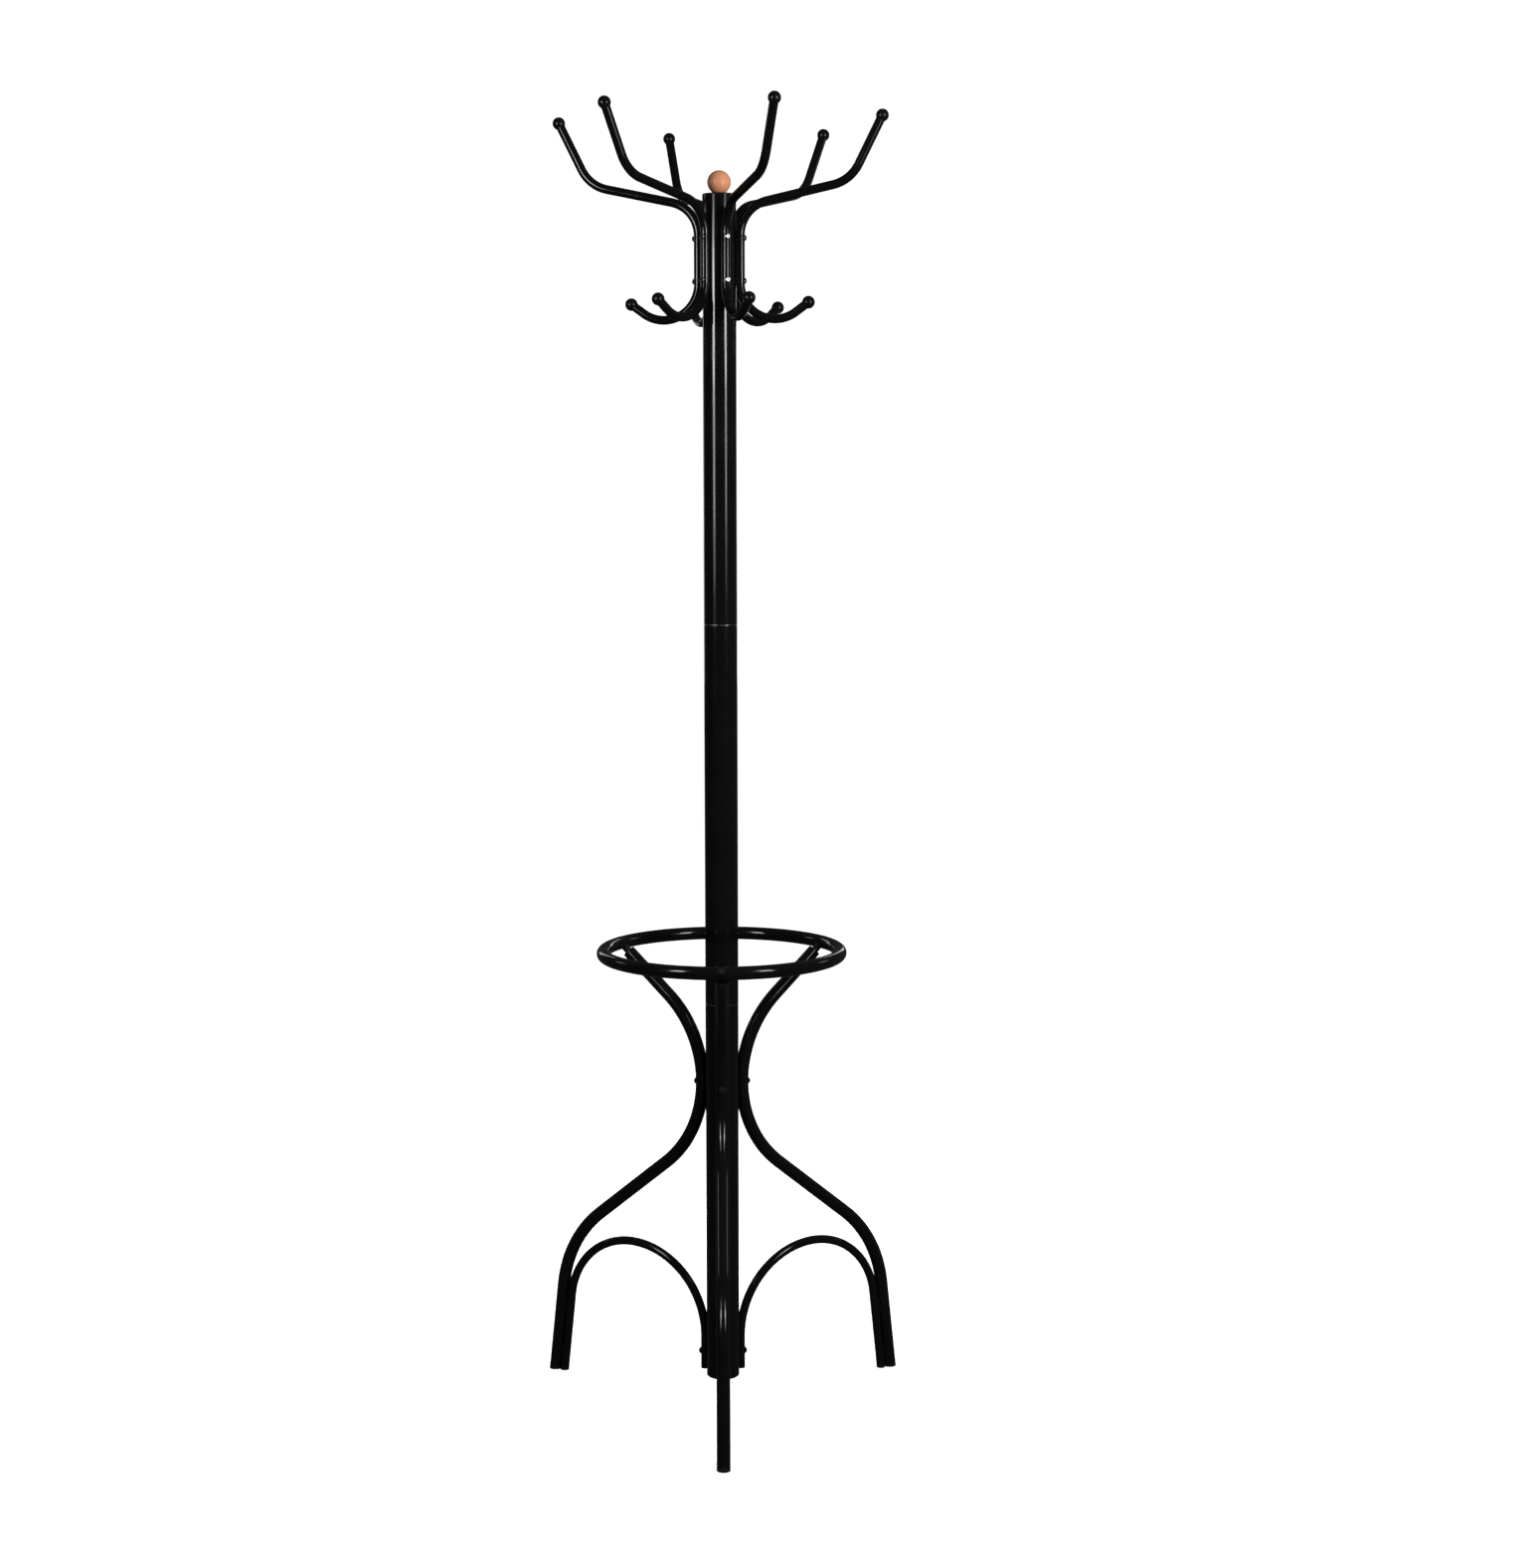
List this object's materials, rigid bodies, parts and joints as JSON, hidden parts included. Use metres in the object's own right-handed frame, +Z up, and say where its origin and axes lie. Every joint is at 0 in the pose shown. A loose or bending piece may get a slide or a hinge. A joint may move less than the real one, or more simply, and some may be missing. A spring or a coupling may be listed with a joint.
{
  "type": "standing coat rack",
  "caption": "Free-standing coat rack: tubular black post on splayed bent legs with arched braces, an umbrella ring, curved upper and lower coat hooks with ball tips and a wooden ball finial.",
  "frame": {"origin": "on the floor, on the axis of the post, at the centre of the circle of feet", "axes": "+Z up along the post; one leg points along -Y, the side that faces the viewer"},
  "size_m": [0.4988, 0.5016, 1.75],
  "materials": {
    "black_enamel": "glossy black stove enamel",
    "black_ball": "glossy black moulded plastic",
    "black_plastic": "semi-matt black moulded plastic",
    "blackened_screw": "black-coated steel",
    "bright_screw": "bright nickel-plated steel",
    "zinc_steel": "zinc-plated steel",
    "turned_wood": "clear-varnished reddish beech"
  },
  "bodies": {
    "root": {"brace_end_cap_front": "black_plastic", "brace_end_cap_left": "black_plastic", "brace_end_cap_right": "black_plastic", "brace_foot_cap_front": "black_plastic", "brace_foot_cap_left": "black_plastic", "brace_foot_cap_right": "black_plastic", "brace_front": "black_enamel", "brace_left": "black_enamel", "brace_right": "black_enamel", "brace_rivet_nuts": "zinc_steel", "brace_screws": "blackened_screw", "finial_ball": "turned_wood", "finial_screw": "zinc_steel", "hook_rivet_nuts": "zinc_steel", "hook_screws": "bright_screw", "hook_tube_1": "black_enamel", "hook_tube_2": "black_enamel", "hook_tube_3": "black_enamel", "hook_tube_4": "black_enamel", "hook_tube_5": "black_enamel", "hook_tube_6": "black_enamel", "leg_foot_cap_front": "black_plastic", "leg_foot_cap_left": "black_plastic", "leg_foot_cap_right": "black_plastic", "leg_front": "black_enamel", "leg_left": "black_enamel", "leg_right": "black_enamel", "leg_rivet_nuts": "zinc_steel", "leg_screws": "blackened_screw", "leg_top_cap_front": "black_plastic", "leg_top_cap_left": "black_plastic", "leg_top_cap_right": "black_plastic", "lower_ball_1": "black_ball", "lower_ball_2": "black_ball", "lower_ball_3": "black_ball", "lower_ball_4": "black_ball", "lower_ball_5": "black_ball", "lower_ball_6": "black_ball", "lower_joint_bush_above": "zinc_steel", "lower_joint_bush_below": "zinc_steel", "lower_joint_stud": "zinc_steel", "post_bottom_plug": "black_plastic", "post_lower": "black_enamel", "post_middle": "black_enamel", "post_top_cap": "black_plastic", "post_upper": "black_enamel", "ring_plugs": "black_plastic", "ring_screws": "blackened_screw", "ring_spacers": "black_plastic", "umbrella_ring": "black_enamel", "upper_ball_1": "black_ball", "upper_ball_2": "black_ball", "upper_ball_3": "black_ball", "upper_ball_4": "black_ball", "upper_ball_5": "black_ball", "upper_ball_6": "black_ball", "upper_joint_bush_above": "zinc_steel", "upper_joint_bush_below": "zinc_steel", "upper_joint_stud": "zinc_steel"}
  },
  "joints": []
}
